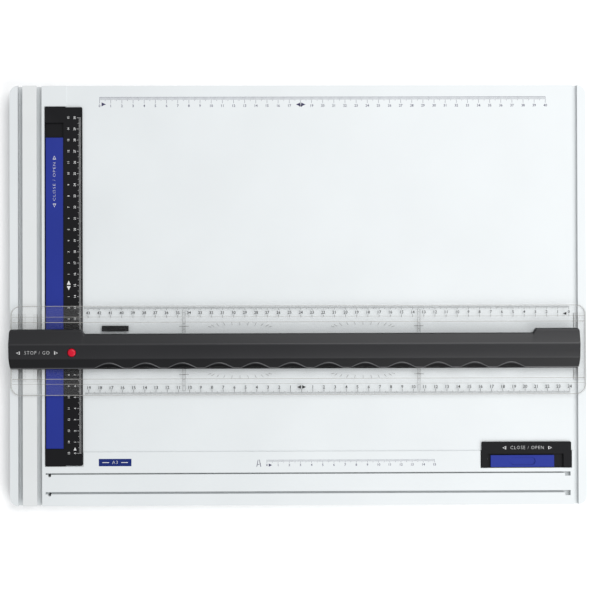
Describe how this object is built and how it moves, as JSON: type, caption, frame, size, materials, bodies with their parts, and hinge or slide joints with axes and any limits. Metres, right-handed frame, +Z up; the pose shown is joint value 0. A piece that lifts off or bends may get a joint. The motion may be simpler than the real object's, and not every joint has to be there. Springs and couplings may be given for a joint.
{
  "type": "portable drawing board",
  "caption": "Flat white portable drawing board with a sliding clear parallel rule, a dark grip bar with a brake, and lever-free paper clamps with blue sliders.",
  "frame": {"origin": "middle of the board's outline, on the surface that its feet stand on", "axes": "+X along the board's long side to the drafter's right, +Y away from the drafter, +Z up out of the drawing face"},
  "size_m": [0.516, 0.376, 0.029],
  "materials": {
    "deck_white": "fine-textured white moulded plastic",
    "cover_white": "matt white plastic sheet",
    "rail_white": "satin white low-friction plastic",
    "foot_rubber": "soft grey-black rubber",
    "screw_steel": "zinc-plated steel",
    "spring_steel": "bright spring steel",
    "clamp_black": "matt black moulded plastic with white print",
    "clamp_base_grey": "dark grey moulded plastic",
    "slider_blue": "satin blue moulded plastic",
    "grip_rubber": "thin grey rubber strip",
    "blade_clear": "clear acrylic, polished, printed below",
    "carrier_black": "black moulded plastic",
    "shoe_clear": "milky low-friction plastic",
    "grip_charcoal": "charcoal soft-touch plastic",
    "button_red": "glossy red plastic"
  },
  "bodies": {
    "board": {"deck_shell": "deck_white", "base_cover": "cover_white", "cover_screws": "screw_steel", "foot_front_left": "foot_rubber", "foot_rear_left": "foot_rubber", "foot_front_right": "foot_rubber", "foot_rear_right": "foot_rubber", "guide_rail": "rail_white", "guide_rail_screws": "screw_steel", "rail_clamp_base": "clamp_base_grey", "rail_clamp_base_screws": "screw_steel", "rail_clamp_springs": "spring_steel", "corner_clamp_base": "clamp_base_grey", "corner_clamp_base_screws": "screw_steel", "corner_clamp_springs": "spring_steel"},
    "rule": {"rule_blade": "blade_clear", "rule_carrier": "carrier_black", "carrier_screws": "screw_steel", "left_outer_shoe": "shoe_clear", "left_inner_shoe": "shoe_clear", "right_shoe": "shoe_clear", "brake_spring": "spring_steel"},
    "grip": {"grip_bar": "grip_charcoal", "button_retainer": "carrier_black", "button_spring": "spring_steel"},
    "stop_button": {"stop_button": "button_red"},
    "brake": {"brake_plunger": "shoe_clear", "brake_pad": "grip_rubber"},
    "rail_jaw": {"rail_clamp_jaw": "clamp_black", "rail_clamp_rubber_strip": "grip_rubber", "rail_clamp_lift_screws": "screw_steel"},
    "rail_slider": {"rail_clamp_slider": "slider_blue"},
    "corner_jaw": {"corner_clamp_jaw": "clamp_black", "corner_clamp_rubber_strip": "grip_rubber", "corner_clamp_lift_screws": "screw_steel"},
    "corner_slider": {"corner_clamp_slider": "slider_blue"}
  },
  "joints": [
    {"name": "rule_slide", "type": "slide", "parent": "board", "child": "rule", "axis": [0, 1, 0], "range_m": [-0.095, 0.19]},
    {"name": "grip_slide", "type": "slide", "parent": "rule", "child": "grip", "axis": [1, 0, 0], "range_m": [0, 0.006]},
    {"name": "brake_lift", "type": "slide", "parent": "rule", "child": "brake", "axis": [0, 0, 1], "range_m": [0, 0.0008], "deforming": ["brake_spring"]},
    {"name": "button_press", "type": "slide", "parent": "grip", "child": "stop_button", "axis": [0, 0, -1], "range_m": [0, 0.0015], "stiffness_N_per_m": 300, "springref_m": -0.001, "deforming": ["button_spring"]},
    {"name": "rail_clamp_lift", "type": "slide", "parent": "board", "child": "rail_jaw", "axis": [0, 0, 1], "range_m": [0, 0.001], "deforming": ["rail_clamp_springs"]},
    {"name": "rail_clamp_slide", "type": "slide", "parent": "rail_jaw", "child": "rail_slider", "axis": [0, 1, 0], "range_m": [0, 0.013]},
    {"name": "corner_clamp_lift", "type": "slide", "parent": "board", "child": "corner_jaw", "axis": [0, 0, 1], "range_m": [0, 0.001], "deforming": ["corner_clamp_springs"]},
    {"name": "corner_clamp_slide", "type": "slide", "parent": "corner_jaw", "child": "corner_slider", "axis": [1, 0, 0], "range_m": [0, 0.008]}
  ],
  "couplings": [
    {"joint": "brake_lift", "follows": "grip_slide", "ratio": 0.13333},
    {"joint": "rail_clamp_lift", "follows": "rail_clamp_slide", "ratio": 0.076923},
    {"joint": "corner_clamp_lift", "follows": "corner_clamp_slide", "ratio": 0.125}
  ]
}
